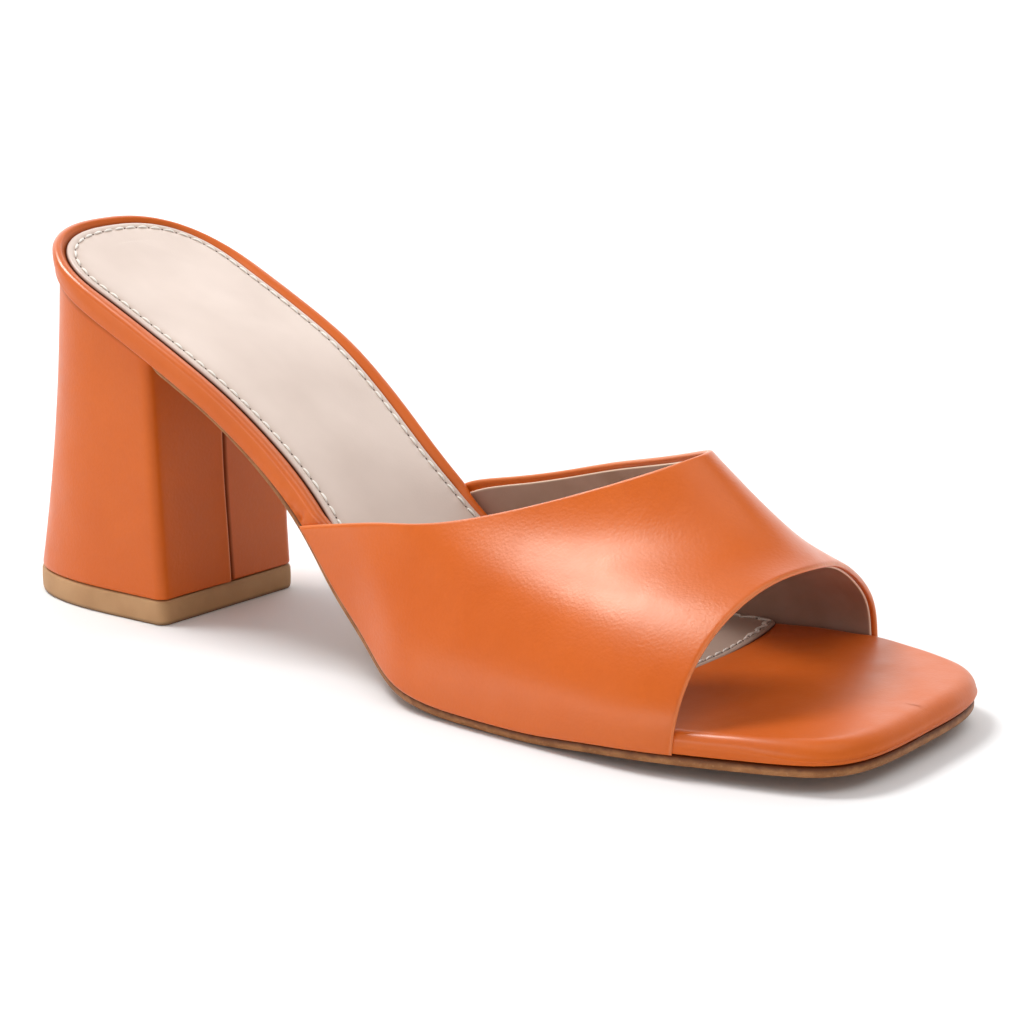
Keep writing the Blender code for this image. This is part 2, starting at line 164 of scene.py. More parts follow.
def evenly(line, count):
    """The same line with points at even distances along it."""
    length = np.concatenate([[0], np.cumsum(np.linalg.norm(np.diff(line, axis=0), axis=1))])
    where = np.linspace(0, length[-1], count)
    return np.stack([np.interp(where, length, line[:, k]) for k in range(line.shape[1])], axis=-1)


def sole_side(side, count=260):
    """One side of the sole in plan: squarish oval at the seat, drawn width, squarish oval toe."""
    angle = np.linspace(0, np.pi / 2, 60)
    seat_x = SOLE_BACK + SEAT_START + SEAT_ROUND * (1 - np.cos(angle) ** (2 / 2.5))
    seat_y = half_width(seat_x, side) * np.sin(angle) ** (2 / 2.5)
    toe_end = SOLE_BACK + SOLE_LENGTH
    straight_x = np.linspace(seat_x[-1], toe_end - TOE_ROUND, 300)[1:-1]
    power = 2 / TOE_SQUARE[side]
    toe_x = (toe_end - TOE_ROUND * (1 - np.cos(angle) ** power))[::-1]
    toe_y = half_width(toe_x, side) * np.sin(angle[::-1]) ** power
    x = np.concatenate([seat_x, straight_x, toe_x])
    y = np.concatenate([seat_y, half_width(straight_x, side), toe_y])
    x = x - TOE_SLANT * between(x, 0.80, 1.0) * side * y / BALL_HALF_WIDTH
    return evenly(np.stack([x, side * y], axis=-1), count)


def inset_side(line, inset, side, soft=0):
    """Side of an outline moved inwards along its normal; its ends stay on the middle line.

    Soft is a count of points over which the normals are averaged, so that deep insets don't cross.
    """
    way = np.gradient(line, axis=0)
    way[0] = (0.0, side)
    way[-1] = (0.0, -side)
    way /= np.linalg.norm(way, axis=1)[:, None]
    if soft:
        bell = np.hanning(2 * soft + 1)
        spread = np.pad(way, ((soft, soft), (0, 0)), mode="edge")
        columns = [np.convolve(column, bell / bell.sum(), mode="valid") for column in spread.T]
        way = np.stack(columns, axis=-1)
        way /= np.linalg.norm(way, axis=1)[:, None]
    inward = np.stack([side * way[:, 1], -side * way[:, 0]], axis=-1)
    moved = line + np.broadcast_to(inset, len(line))[:, None] * inward
    moved[[0, -1], 1] = 0.0
    return moved


def closed_body(rights, lefts, across, crown=0.0):
    """Grid of a closed solid from rows of right and left sides, given from the bottom up.

    Each station's section is a loop: up the right rows, over the top, down the left rows and
    back under the bottom. The crown lifts the top as a soft arch across.
    """
    rights, lefts = np.array(rights), np.array(lefts)
    part = np.linspace(0, 1, across + 2)[1:-1, None, None]
    over = rights[-1] + (lefts[-1] - rights[-1]) * part
    room = ease(np.linalg.norm(lefts[-1] - rights[-1], axis=-1) / 0.03)
    over[..., 2] += crown * room * np.sin(np.pi * part[..., 0]) ** 2
    under = lefts[0] + (rights[0] - lefts[0]) * part
    return np.concatenate([rights, over, lefts[::-1], under]).transpose(1, 0, 2)


def loop_values(rights, lefts, over, across):
    """Values of a closed body's grid, from the rows of both sides and one value for the top."""
    rights, lefts = np.array(rights), np.array(lefts)
    top = np.broadcast_to(over, (across, rights.shape[1]))
    return np.concatenate([rights, top, lefts[::-1], 0 * top]).T


def grid_faces(rows, columns, wrap):
    """Quads of a grid; with wrap the last column joins the first."""
    index = np.arange(rows * columns).reshape(rows, columns)
    after = np.roll(index, -1, axis=1) if wrap else index[:, 1:]
    here = index if wrap else index[:, :-1]
    return np.stack([here[:-1], here[1:], after[1:], after[:-1]], axis=-1).reshape(-1, 4)


def add_piece(name, points, faces, material, replaced=(), tints=None):
    """Mesh object from whole arrays: doubles merged, faces turned outwards, shaded smooth."""
    mesh = bpy.data.meshes.new(name)
    mesh.from_pydata(points.reshape(-1, 3), [], faces)
    for label, values in (tints or {}).items():
        tint = mesh.attributes.new(label, "FLOAT", "POINT")
        tint.data.foreach_set("value", np.ascontiguousarray(values, dtype=np.float32).ravel())
    shape = bmesh.new()
    shape.from_mesh(mesh)
    bmesh.ops.remove_doubles(shape, verts=shape.verts, dist=2e-6)
    bmesh.ops.recalc_face_normals(shape, faces=shape.faces)
    shape.to_mesh(mesh)
    shape.free()
    mesh.shade_smooth()
    mesh.materials.append(material)
    piece = bpy.data.objects.new(name, mesh)
    bpy.context.scene.collection.objects.link(piece)
    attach(piece, "root")
    if replaced:
        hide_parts(*replaced)
    return piece


def new_material(name, colour, roughness, coat=0.0, coat_roughness=0.3):
    """Material with its Principled shader; returns the material, its tree and the shader."""
    material = bpy.data.materials.new(name)
    material.use_nodes = True
    tree = material.node_tree
    shader = tree.nodes["Principled BSDF"]
    shader.inputs["Base Color"].default_value = (*colour, 1.0)
    shader.inputs["Roughness"].default_value = roughness
    shader.inputs["Coat Weight"].default_value = coat
    shader.inputs["Coat Roughness"].default_value = coat_roughness
    material.diffuse_color = (*colour, 1.0)
    return material, tree, shader


def noise(tree, scale, detail=3.0):
    """Noise on the object's own coordinates, with features of about 1/scale metres."""
    place = tree.nodes.new("ShaderNodeTexCoord")
    cloud = tree.nodes.new("ShaderNodeTexNoise")
    cloud.inputs["Scale"].default_value = scale
    cloud.inputs["Detail"].default_value = detail
    tree.links.new(place.outputs["Object"], cloud.inputs["Vector"])
    return cloud.outputs["Fac"]


def pebbles(tree, scale):
    """Rounded cells on the object's own coordinates, as in embossed grain."""
    place = tree.nodes.new("ShaderNodeTexCoord")
    cells = tree.nodes.new("ShaderNodeTexVoronoi")
    cells.feature = "SMOOTH_F1"
    cells.inputs["Scale"].default_value = scale
    cells.inputs["Smoothness"].default_value = 0.6
    tree.links.new(place.outputs["Object"], cells.inputs["Vector"])
    return cells.outputs["Distance"]


def ranged(tree, value, low, high, out_low, out_high):
    """Value mapped from one range to another and held at its ends."""
    node = tree.nodes.new("ShaderNodeMapRange")
    ends = (("From Min", low), ("From Max", high), ("To Min", out_low), ("To Max", out_high))
    for socket, number in ends:
        node.inputs[socket].default_value = number
    tree.links.new(value, node.inputs["Value"])
    return node.outputs["Result"]


def tinted(tree, factor, first, second):
    """Colour between two tones by a factor; either tone may be a colour or a socket."""
    node = tree.nodes.new("ShaderNodeMix")
    node.data_type = "RGBA"
    tree.links.new(factor, node.inputs["Factor"])
    sockets = [item for item in node.inputs if item.type == "RGBA"]
    for socket, tone in zip(sockets, (first, second)):
        if isinstance(tone, tuple):
            socket.default_value = (*tone, 1.0)
        else:
            tree.links.new(tone, socket)
    return [item for item in node.outputs if item.type == "RGBA"][0]


def added(tree, first, second):
    """Sum of two values."""
    node = tree.nodes.new("ShaderNodeMath")
    node.operation = "ADD"
    tree.links.new(first, node.inputs[0])
    tree.links.new(second, node.inputs[1])
    return node.outputs["Value"]


def mesh_value(tree, label):
    """Factor read from an attribute of the mesh."""
    node = tree.nodes.new("ShaderNodeAttribute")
    node.attribute_name = label
    return node.outputs["Fac"]


def bumped(tree, height, depth, strength, below=None):
    """Bump from a height of the given depth in metres, laid over an earlier bump."""
    node = tree.nodes.new("ShaderNodeBump")
    node.inputs["Distance"].default_value = depth
    node.inputs["Strength"].default_value = strength
    tree.links.new(height, node.inputs["Height"])
    if below is not None:
        tree.links.new(below, node.inputs["Normal"])
    return node.outputs["Normal"]


ORANGE = (0.605, 0.112, 0.008)
ORANGE_DEEP = (0.520, 0.086, 0.005)
# Of the tones below, the third is painted shade for crevices and shadowed strips, and the fourth a
# painted highlight for rounded and raised edges, which on the heel stands partly for a pale cut edge.
GAP_SHADE = (0.090, 0.014, 0.003)
CUT_EDGE_AND_HIGHLIGHT = (0.86, 0.31, 0.13)
LEATHER_SPECULAR = 0.36
LEATHER_GLOSS_TINT = (1.0, 0.84, 0.62, 1.0)
RIM_COAT = 0.9


def orange_leather(name, roughness, grain, coat, shaded=None, lit=None, polished=None):
    """Coated leather: fine embossed pebbles and pores, a faint cloud in tone and gloss.

    Where the shaded attribute of the mesh is 1, the colour is painted shade, a near-black brown
    with little specular or coat, and where the lit one is 1, a painted highlight in pale orange,
    on the heel partly a pale cut edge. Where the polished one is 1, handling has made it shine.
    """
    material, tree, shader = new_material(name, ORANGE, roughness, coat, 0.28)
    shader.inputs["Specular IOR Level"].default_value = LEATHER_SPECULAR
    shader.inputs["Specular Tint"].default_value = LEATHER_GLOSS_TINT
    cloud = noise(tree, 38.0, 4.0)
    fleck = noise(tree, 900.0, 2.0)
    base = tinted(tree, ranged(tree, cloud, 0.35, 0.70, 0.0, 0.55), ORANGE, ORANGE_DEEP)
    base = tinted(tree, ranged(tree, fleck, 0.35, 0.70, 0.0, 0.16), base, ORANGE_DEEP)
    # Painted shade: where the shaded attribute is 1, the colour is near-black brown and the specular
    # level and coat fall away, as deep in a crevice.
    if shaded:
        shade = mesh_value(tree, shaded)
        base = tinted(tree, shade, base, GAP_SHADE)
        level = ranged(tree, shade, 0.0, 0.8, LEATHER_SPECULAR, 0.02)
        tree.links.new(level, shader.inputs["Specular IOR Level"])
        weight = ranged(tree, shade, 0.0, 0.8, coat, 0.0)
        if polished:
            rim_coat = ranged(tree, mesh_value(tree, polished), 0.0, 1.0, 0.0, RIM_COAT)
            weight = added(tree, weight, rim_coat)
        tree.links.new(weight, shader.inputs["Coat Weight"])
    # Painted highlight: where the lit attribute is 1, the colour is pale orange; on the heel it stands
    # partly for a pale cut edge.
    if lit:
        base = tinted(tree, mesh_value(tree, lit), base, CUT_EDGE_AND_HIGHLIGHT)
    tree.links.new(base, shader.inputs["Base Color"])
    gloss = ranged(tree, noise(tree, 120.0, 3.0), 0.3, 0.7, roughness - 0.05, roughness + 0.07)
    tree.links.new(gloss, shader.inputs["Roughness"])
    soft = bumped(tree, noise(tree, 160.0, 3.0), 0.00030, 0.10 * grain)
    cells = bumped(tree, pebbles(tree, 1500.0), 0.00012, 0.22 * grain, soft)
    pores = bumped(tree, noise(tree, 3200.0, 2.0), 0.00008, 0.20 * grain, cells)
    tree.links.new(pores, shader.inputs["Normal"])
    return material


def band_seat(x, rear, front):
    """How far the board is set in where the band passes down over its side."""
    rear_ramp = ease((x - rear) / BAND_SEAT_RAMP)
    front_ramp = ease((front - x) / BAND_SEAT_RAMP)
    return BAND_SEAT_DEPTH * rear_ramp * front_ramp


def waver(x, phase):
    """Slow, small unevenness of a hand-pulled edge: three sines of unlike length."""
    return (0.5 * np.sin(x * 210 + phase) + 0.3 * np.sin(x * 390 + 2.1 * phase)
            + 0.2 * np.sin(x * 730 + 3.7 * phase))


BAND_ENDS = {-1: (0.0665, 0.1705), 1: (0.0680, 0.1670)}
SOCK_MARGIN_BACK = 0.0027
SOCK_MARGIN_SEAT = 0.0041
SOCK_MARGIN_BALL = {-1: 0.0026, 1: 0.0010}
TUCK_WIDTH = 0.0008

# Distance behind the band's rear corner, depth
TUCKS = ((0.0012, 0.00090), (0.0031, 0.00060), (0.0054, 0.00030))


def sock_margin(x, side):
    """Distance of the sock's edge from the board's edge."""
    seat = SOCK_MARGIN_BACK + (SOCK_MARGIN_SEAT - SOCK_MARGIN_BACK) * between(x, 0.01, 0.13)
    return seat + (SOCK_MARGIN_BALL[side] - SOCK_MARGIN_SEAT) * between(x, 0.33, 0.60)


def recessed(x):
    """Share of the sock's recess: full from seat to waist, gone before the ball."""
    return 1 - between(x, 0.42, 0.54)


def tuck_folds(x, side):
    """Small folds where the wrap is pulled under the band's rear corners: a row of bell troughs."""
    behind = BAND_ENDS[side][0] - x
    return sum(depth * np.exp(-((behind - place) / TUCK_WIDTH) ** 2) for place, depth in TUCKS)


# Painted shade: the third entry of each wall row is a shade factor. From the seat to the waist, the
# rows that go down into the groove by the sock's edge carry it, and the leather is drawn near-black
# brown there; under the sock the whole top carries it too, out of sight.
rights, lefts, gap_shade, rim = [], [], [], []
for side, rows in ((-1, rights), (1, lefts)):
    edge = sole_side(side, 520)
    rear, front = BAND_ENDS[side]
    edge[:, 1] -= side * band_seat(edge[:, 0], rear, front) * ease(np.arange(len(edge)) / 16)
    x = edge[:, 0]
    ridge = RIDGE_AT_SEAT + (RIDGE_AT_BALL - RIDGE_AT_SEAT) * between(x, 0.45, 0.80)
    ridge = ridge + (RIDGE_AT_TOE - RIDGE_AT_BALL) * between(x, 0.90, 0.985)
    lean = SEAT_LEAN * (1 - between(x, 0.0, 0.15))
    shake = 0.00006 * waver(x, 1.0 + side)
    folds = tuck_folds(x, side)
    top = board(x)
    dip = SOCK_RECESS * recessed(x)
    groove = sock_margin(x, side) * recessed(x) + (ridge + 0.0045) * (1 - recessed(x))
    wall = [(lean + 0.0030, 0.0, 0), (lean + 0.0009, 0.00006, 0), (lean + 0.0003, 0.00018, 0),
            (lean + 0.00006 + folds, 0.00045, 0)]
    for t in np.linspace(0, 1, 7):
        swell = -0.00016 * np.sin(np.pi * t) + 0.4 * shake + folds * (1 - t)
        wall.append((lean * (1 - t) + swell, WALL_FOOT + (top - ridge - WALL_FOOT) * t, 0))
    roll_start = len(wall)
    for angle in np.linspace(0, np.pi / 2, ROLL_STEPS + 1)[1:]:
        inset = ridge * (1 - np.cos(angle)) + shake
        wall.append((inset, top - ridge * (1 - np.sin(angle)) + shake, 0))
    fall = RIDGE_FALL * recessed(x)
    for t in (0.25, 0.5, 0.75):
        inset = ridge + t * (groove - GROOVE_LIP - ridge)
        wall.append((inset, top - fall * t * t + shake * (1 - t), 0))
    wall += [(groove - GROOVE_LIP, top - fall, 0), (groove - 0.0004, top - fall - 0.35 * dip, 0.5),
             (groove, top - fall - 0.80 * dip, 1), (groove + 0.0009, top - fall - dip, 1)]
    for number, (inset, height, dark) in enumerate(wall):
        line = inset_side(edge, inset, side, int(np.max(inset) / 0.0003))
        rows.append(stand(line[:, 0], line[:, 1], height + 0 * x))
        if side < 0:
            gap_shade.append(dark * recessed(x))
            along_roll = np.clip((number - roll_start + 1) / ROLL_STEPS, 0, 1)
            rim.append(np.sin(np.pi * along_roll) * (1 - between(x, 0.92, 0.98)))
before_toe = SOLE_BACK + SOLE_LENGTH - CROWN_END - x
crown = (CROWN + TOE_CROWN * between(x, 0.62, 0.80)) * ease(before_toe / 0.030)
grid = closed_body(rights, lefts, 24, crown)
footbed_leather = orange_leather("footbed_leather", 0.43, 0.7, 0.10, shaded="gap_shade", polished="rim")
tints = {"gap_shade": loop_values(gap_shade, gap_shade, recessed(x), 24), "rim": loop_values(rim, rim, 0 * x, 24)}
add_piece("footbed_wrapped", grid, grid_faces(*grid.shape[:2], wrap=True), footbed_leather,
          ["footbed"], tints)

# The band: one wide piece of the same leather, lasted over the foot and down both sides of the
# board. Its collar and toe edges are folded, so the wall ends in a soft round hem.

BAND_REAR = 0.0665
BAND_SPAN = 0.1040
BAND_RISE = 0.0500
BAND_PROUD = 0.0009
BAND_SADDLE = 0.0005
FOOT_SHARE = 0.22
LEATHER_HALF = 0.00065
HEM_ROUND = 0.0009

# Turn over the foot, station along the band's span, lean as share of the half width, rise
COLLAR_EDGE = (
    (0.00, 0.000, -1.000, 0.000), (0.10, 0.115, -0.930, 0.295), (0.25, 0.310, -0.740, 0.597),
    (0.38, 0.560, -0.425, 0.782), (0.50, 0.830, 0.035, 0.985), (0.62, 0.590, 0.470, 0.848),
    (0.75, 0.345, 0.800, 0.672), (0.90, 0.085, 0.960, 0.235), (1.00, 0.015, 1.000, 0.000),
)
TOE_EDGE = (
    (0.00, 1.000, -1.000, 0.000), (0.10, 1.008, -0.985, 0.166), (0.25, 1.020, -0.730, 0.432),
    (0.38, 1.050, -0.340, 0.574), (0.50, 1.060, 0.020, 0.568), (0.62, 1.030, 0.360, 0.522),
    (0.75, 0.985, 0.745, 0.380), (0.90, 0.960, 1.000, 0.175), (1.00, 0.965, 1.000, 0.000),
)


def flowing(rows, column, where):
    """Natural cubic spline through one column of a table."""
    table = np.array(rows)
    x, y = table[:, 0], table[:, column]
    step = np.diff(x)
    inner = np.arange(1, len(x) - 1)
    system = np.eye(len(x))
    system[inner, inner - 1] = step[:-1]
    system[inner, inner] = 2 * (step[:-1] + step[1:])
    system[inner, inner + 1] = step[1:]
    target = np.zeros(len(x))
    target[1:-1] = 6 * np.diff(np.diff(y) / step)
    bend = np.linalg.solve(system, target)
    cell = np.clip(np.searchsorted(x, where) - 1, 0, len(x) - 2)
    a = (x[cell + 1] - where) / step[cell]
    b = 1 - a
    return (a * y[cell] + b * y[cell + 1]
            + ((a**3 - a) * bend[cell] + (b**3 - b) * bend[cell + 1]) * step[cell]**2 / 6)


SOFT_LINES = {side: (line[0], averaged(line[1], 260)) for side, line in EDGE_LINES.items()}
SOFT_UNDERSIDE = (UNDERSIDE_LINE[0], averaged(UNDERSIDE_LINE[1], 200))


def foot_share(turn):
    """Share of the sole's own line in the wall: all of it at its two feet, none over the foot."""
    return 1 - ease(np.minimum(turn, 1 - turn) / FOOT_SHARE)


def reach_of(x, lean, part=1.0):
    """Half width under the wall on the side it leans to, blended over the middle.

    The part says how much of the sole's own line is in it; the rest is the same line, softened.
    """
    left = ease(lean / 1.2 + 0.5)
    sides = []
    for side in (-1, 1):
        soft = BALL_HALF_WIDTH * np.interp(share(x), *SOFT_LINES[side])
        sides.append(soft + (half_width(x, side) - soft) * part)
    return sides[0] * (1 - left) + sides[1] * left + BAND_PROUD


def level_of(x, part=1.0):
    """Height from which the wall's rise is measured, softened in the same way."""
    soft = TREAD + HEEL_RISE * np.interp(share(x), *SOFT_UNDERSIDE)
    return soft + (underside(x) - soft) * part


def free_edge(rows):
    """Collar or toe edge as fine columns of turn, station, lean and rise.

    Each column is a natural cubic spline. The edge is then averaged in space over a short bell,
    both ends kept, so that no small wave is left, and turned back into its columns.
    """
    turn = np.linspace(0, 1, 1201)
    x = BAND_REAR + BAND_SPAN * flowing(rows, 1, turn)
    lean = flowing(rows, 2, turn)
    line = (x, lean * reach_of(x, lean), underside(x) + BAND_RISE * flowing(rows, 3, turn))
    x, y, z = (averaged(part, 110) for part in line)
    part = foot_share(turn)
    for _ in range(6):
        lean = y / reach_of(x, lean, part)
    return turn, x, lean, (z - level_of(x, part)) / BAND_RISE


COLLAR_LINE = free_edge(COLLAR_EDGE)
TOE_LINE = free_edge(TOE_EDGE)


def edge_point(line, turn):
    """Point of a free edge at a turn."""
    x, lean, rise = (np.interp(turn, line[0], column) for column in line[1:])
    part = foot_share(turn)
    height = level_of(x, part) + BAND_RISE * rise
    return np.stack([x, lean * reach_of(x, lean, part), height], axis=-1)


def band_face(turn, along):
    """Outer face: station, lean and rise run evenly from the collar edge to the toe edge.

    Because lean and rise are measured on the sole, both feet follow the sole's own edge.
    """
    columns = []
    for collar, toe in zip(COLLAR_LINE[1:], TOE_LINE[1:]):
        start = np.interp(turn, COLLAR_LINE[0], collar)
        columns.append(start + (np.interp(turn, TOE_LINE[0], toe) - start) * along)
    x, lean, rise = columns
    part = foot_share(turn)
    saddle = BAND_SADDLE * 4 * along * (1 - along) * np.sin(np.pi * turn) ** 2
    height = level_of(x, part) + BAND_RISE * rise - saddle
    return np.stack([x, lean * reach_of(x, lean, part), height], axis=-1)


def face_normal(face, turn):
    """Unit normals of a grid, turned outwards, and level at the feet where the wall is upright."""
    normal = np.cross(np.gradient(face, axis=1), np.gradient(face, axis=0))
    normal /= np.linalg.norm(normal, axis=-1)[..., None]
    middle = normal.shape[0] // 2
    if normal[middle, :, 2].mean() < 0:
        normal = -normal
    level = np.zeros_like(normal)
    level[..., 1] = np.where(turn < 0.5, -1.0, 1.0)
    upright = (1 - ease(np.minimum(turn, 1 - turn) / 0.06))[..., None]
    normal = normal * (1 - upright) + level * upright
    return normal / np.linalg.norm(normal, axis=-1)[..., None]


def band_grid(turns, collar_gap, toe_gap, steps, columns):
    """Turn and share grids whose first and last columns keep set distances from the edges."""
    span = edge_point(TOE_LINE, turns) - edge_point(COLLAR_LINE, turns)
    length = np.linalg.norm(span, axis=-1)[:, None]
    rear = (collar_gap + steps) / length
    front = 1 - (toe_gap + steps[::-1]) / length
    middle = np.linspace(0, 1, columns)[None, 1:-1]
    inner = rear[:, -1:] + (front[:, :1] - rear[:, -1:]) * middle
    along = np.concatenate([rear, inner, front], axis=1)
    return np.broadcast_to(turns[:, None], along.shape), along, length


def rounded(distance, radius):
    """Half-round fall of a wall's thickness towards its edge."""
    t = np.clip(distance / radius, 0, 1)
    return np.sqrt(np.clip(1 - (1 - t) ** 2, 0, 1))


def foot_distance(face):
    """Distance up the wall from both feet, the shorter one."""
    run = np.concatenate([np.zeros((1, face.shape[1])),
                          np.cumsum(np.linalg.norm(np.diff(face, axis=0), axis=-1), axis=0)])
    return np.minimum(run, run[-1:] - run)


def wall_sheets(face, normal, half):
    """Both sheets of a wall on either side of its middle, as one grid that closes on itself."""
    middle = face - LEATHER_HALF * normal
    outer, inner = middle + half[..., None] * normal, middle - half[..., None] * normal
    return np.concatenate([outer, inner[:, ::-1]], axis=1)


EDGE_STEPS = np.array([0, 0.02, 0.08, 0.18, 0.32, 0.50, 0.72, 0.95, 1.4, 2.2, 3.4]) * 0.001
low_turns = np.array([0, 0.0004, 0.0012, 0.0024, 0.004, 0.006, 0.009, 0.013, 0.019, 0.027])
turns = np.concatenate([low_turns, np.linspace(0.036, 0.964, 150), 1 - low_turns[::-1]])
turn, along, length = band_grid(turns, 0.0, 0.0, EDGE_STEPS, 90)
face = band_face(turn, along)
normal = face_normal(face, turn)
half = (LEATHER_HALF * rounded(along * length, HEM_ROUND) * rounded((1 - along) * length, HEM_ROUND)
        * rounded(foot_distance(face), 0.0008))
band_leather = orange_leather("band_leather", 0.38, 1.25, 0.30, lit="hem")
# Painted highlight: within about 0.6 mm of the collar and toe edges the leather is drawn pale orange,
# as light on the round of the folded hem.
hem = 0.45 * (1 - ease(np.minimum(along, 1 - along) * length / 0.0006))
sheets = wall_sheets(face, normal, half)
add_piece("band", sheets, grid_faces(*sheets.shape[:2], wrap=True), band_leather,
          ["upper"], {"hem": np.concatenate([hem, hem[:, ::-1]], axis=1)})

# The lining: thin taupe sheet glued inside the band. Its cut edge stops short of the folded
# collar hem, which shows above it, and lies almost at the edge of the toe opening.

LINING_HALF = 0.00022
COLLAR_HEM = 0.0016
TOE_HEM = 0.0009

lining_leather, tree, shader = new_material("lining", (0.40, 0.245, 0.17), 0.50)
cloud = noise(tree, 60.0, 3.0)
patches = ranged(tree, cloud, 0.35, 0.65, 0.0, 1.0)
tone = tinted(tree, patches, (0.45, 0.285, 0.22), (0.35, 0.21, 0.145))
tone = tinted(tree, mesh_value(tree, "cut_edge"), tone, (0.85, 0.66, 0.50))
tree.links.new(tone, shader.inputs["Base Color"])
tree.links.new(bumped(tree, noise(tree, 2200.0, 3.0), 0.0001, 0.25), shader.inputs["Normal"])

turn, along, length = band_grid(turns, COLLAR_HEM, TOE_HEM, EDGE_STEPS, 60)
face = band_face(turn, along)
normal = face_normal(face, turn)
from_edge = np.minimum(along * length - COLLAR_HEM, (1 - along) * length - TOE_HEM)
half = LINING_HALF * rounded(from_edge, 0.00020) * rounded(foot_distance(face), 0.0004)
lined = face - (LEATHER_HALF + LINING_HALF + 0.00002) * normal
sheets = wall_sheets(lined, normal, half)
cut = 1 - ease(from_edge / 0.0005)
add_piece("lining", sheets, grid_faces(*sheets.shape[:2], wrap=True), lining_leather,
          tints={"cut_edge": np.concatenate([cut, cut[:, ::-1]], axis=1)})

# The outsole: a thin tan rubber sheet from the heel's breast to the toe, its edge stained brown
# and trimmed by hand just inside the upper.

OUTSOLE_REAR = 0.0240
OUTSOLE_WAIST = 0.0013
OUTSOLE_BALL = 0.0019
OUTSOLE_SETBACK = 0.0004
WAIST_SETBACK = 0.0016
SEAM_GAP = 0.0003


def outsole_thickness(x):
    """Thickness of the sheet: skived thin at the waist, full from the ball on."""
    return OUTSOLE_WAIST + (OUTSOLE_BALL - OUTSOLE_WAIST) * between(x, 0.25, 0.50)


outsole_rubber, tree, shader = new_material("outsole_rubber", (0.34, 0.22, 0.14), 0.55)
shader.inputs["Specular IOR Level"].default_value = 0.25
stain = noise(tree, 260.0, 4.0)
fleck = noise(tree, 1400.0, 2.0)
patches = ranged(tree, stain, 0.40, 0.62, 0.0, 1.0)
tone = tinted(tree, patches, (0.34, 0.145, 0.052), (0.25, 0.098, 0.032))
tone = tinted(tree, ranged(tree, fleck, 0.55, 0.75, 0.0, 0.5), tone, (0.48, 0.24, 0.11))
ragged = ranged(tree, noise(tree, 700.0, 3.0), 0.3, 0.7, -0.10, 0.10)
soaked = ranged(tree, added(tree, mesh_value(tree, "up"), ragged), 0.50, 0.85, 0.0, 1.0)
tree.links.new(tinted(tree, soaked, tone, (0.125, 0.040, 0.014)), shader.inputs["Base Color"])
tree.links.new(bumped(tree, noise(tree, 900.0, 4.0), 0.0002, 0.35), shader.inputs["Normal"])

rights, lefts = [], []
for side, rows in ((-1, rights), (1, lefts)):
    outer = sole_side(side, 900)
    setback = WAIST_SETBACK + (OUTSOLE_SETBACK - WAIST_SETBACK) * between(outer[:, 0], 0.25, 0.50)
    outer = inset_side(outer, setback, side)
    outer = outer[outer[:, 0] > OUTSOLE_REAR + 0.004]
    corner = half_width(OUTSOLE_REAR, side) - WAIST_SETBACK
    start = np.array([(OUTSOLE_REAR, 0.0), (OUTSOLE_REAR, side * (corner - 0.0035)),
                      (OUTSOLE_REAR + 0.0010, side * (corner - 0.0012))])
    edge = evenly(np.vstack([start, outer]), 240)
    x = edge[:, 0]
    shake = 0.00008 * waver(x, 4.0 + side)
    thick = outsole_thickness(x)
    trimmed = ((0.0007, -thick), (0.00025, 0.00010 - thick), (0.00005, 0.00040 - thick),
               (shake, -0.5 * thick), (0.00004 + shake, -0.00025), (0.00030 + shake, 0.0 * x))
    for inset, height in trimmed:
        line = inset_side(edge, inset, side)
        rows.append(stand(line[:, 0], line[:, 1], height - SEAM_GAP))
grid = closed_body(rights, lefts, 12)
level = np.array([0.0, 0.0, 0.15, 0.5, 0.85, 1.0])[:, None]
up = np.broadcast_to(level, np.array(rights).shape[:2])
add_piece("outsole_sheet", grid, grid_faces(*grid.shape[:2], wrap=True), outsole_rubber,
          ["outsole"], {"up": loop_values(up, up, 1.0, 12)})

# The heel: a block covered with one piece of leather, wrapped round from the breast. Its near
# end overlaps the far one there and stands proud, with a raised edge from top to bottom.

HEEL_BACK = -0.0250
HEEL_BREAST = 0.0250
HEEL_BREAST_TOP = 0.0233
HEEL_HALF_WIDTH = 0.0215
HEEL_BACK_ROUND = 0.0360
HEEL_TUCK = 0.0028
HEEL_CORNER = 0.0024
HEEL_HOLLOW = 0.0280
WRAP_STEP = 0.0009
LIP_FADE = 0.0055
LIFT_THICKNESS = 0.0055


def heel_wall(corner, wall, breast, side, count=110):
    """Side of the heel in plan: flat breast from the seam, quarter-round edge, wall to the back."""
    reach = abs(corner)
    angle = np.linspace(0, np.pi / 2, 9)[1:-1]
    beside_seam = [0, 0.0001, 0.0003, 0.0006, 0.001, 0.002]
    flat_y = np.concatenate([beside_seam, np.linspace(0.0035, reach - HEEL_CORNER, 14)])
    flat = np.stack([np.full(len(flat_y), breast), side * flat_y], axis=-1)
    arc = np.stack([breast - HEEL_CORNER * (1 - np.cos(angle)),
                    side * (reach - HEEL_CORNER * (1 - np.sin(angle)))], axis=-1)
    body = wall[wall[:, 0] < breast - HEEL_CORNER]
    body = np.vstack([[(breast - HEEL_CORNER, side * reach)], body])
    return np.vstack([flat, arc, evenly(body, count)])


def heel_plan(side):
    """Foot and top of one side of the heel, point for point."""
    angle = np.linspace(np.pi / 2, 0, 200)
    x = HEEL_BACK + HEEL_BACK_ROUND * (1 - np.cos(angle) ** (2 / 2.6))
    y = HEEL_HALF_WIDTH * np.sin(angle) ** (2 / 2.6)
    foot = heel_wall(HEEL_HALF_WIDTH, np.stack([x, side * y], axis=-1), HEEL_BREAST, side)
    edge = inset_side(sole_side(side, 900), HEEL_TUCK, side)[::-1]
    corner = half_width(HEEL_BREAST_TOP, side) - HEEL_TUCK
    top = heel_wall(corner, edge[edge[:, 0] < HEEL_BREAST_TOP], HEEL_BREAST_TOP, side)
    return foot, top


